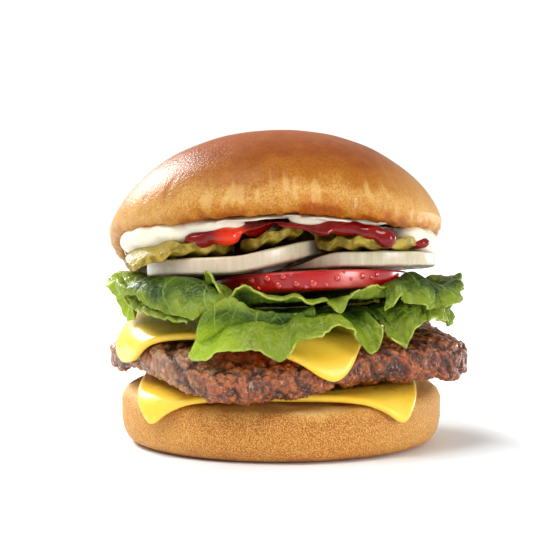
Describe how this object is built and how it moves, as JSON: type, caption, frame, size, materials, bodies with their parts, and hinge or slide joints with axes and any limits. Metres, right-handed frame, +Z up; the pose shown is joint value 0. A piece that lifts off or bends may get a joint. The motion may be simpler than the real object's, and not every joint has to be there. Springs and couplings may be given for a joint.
{
  "type": "cheeseburger",
  "caption": "Cheeseburger with a square beef patty, cheese, lettuce, tomato, onion, pickle, ketchup and mayonnaise in a round bun.",
  "frame": {"origin": "centre of the flat underside of the lower bun half", "axes": "+Z up; -Y towards the front, where the crown is lifted and the toppings show; +X to the right of it"},
  "size_m": [0.115, 0.1152, 0.0989],
  "materials": {
    "bun": "egg-washed bread crust, satin",
    "cheese": "smooth melted cheese",
    "patty": "seared ground beef, moist",
    "lettuce": "fresh leaf, waxy",
    "tomato": "wet skin",
    "onion": "moist, slightly translucent",
    "pickle": "wet, brined",
    "ketchup": "glossy sauce",
    "mayonnaise": "glossy cream sauce"
  },
  "bodies": {
    "root": {"bun_heel": "bun", "bun_crown": "bun", "cheese_lower": "cheese", "cheese_upper": "cheese", "patty": "patty", "lettuce_left": "lettuce", "lettuce_front": "lettuce", "lettuce_right": "lettuce", "lettuce_back": "lettuce", "lettuce_collar": "lettuce", "tomato": "tomato", "onion_left": "onion", "onion_right": "onion", "pickle_left": "pickle", "pickle_middle": "pickle", "pickle_right": "pickle", "ketchup": "ketchup", "mayonnaise": "mayonnaise"}
  },
  "joints": []
}
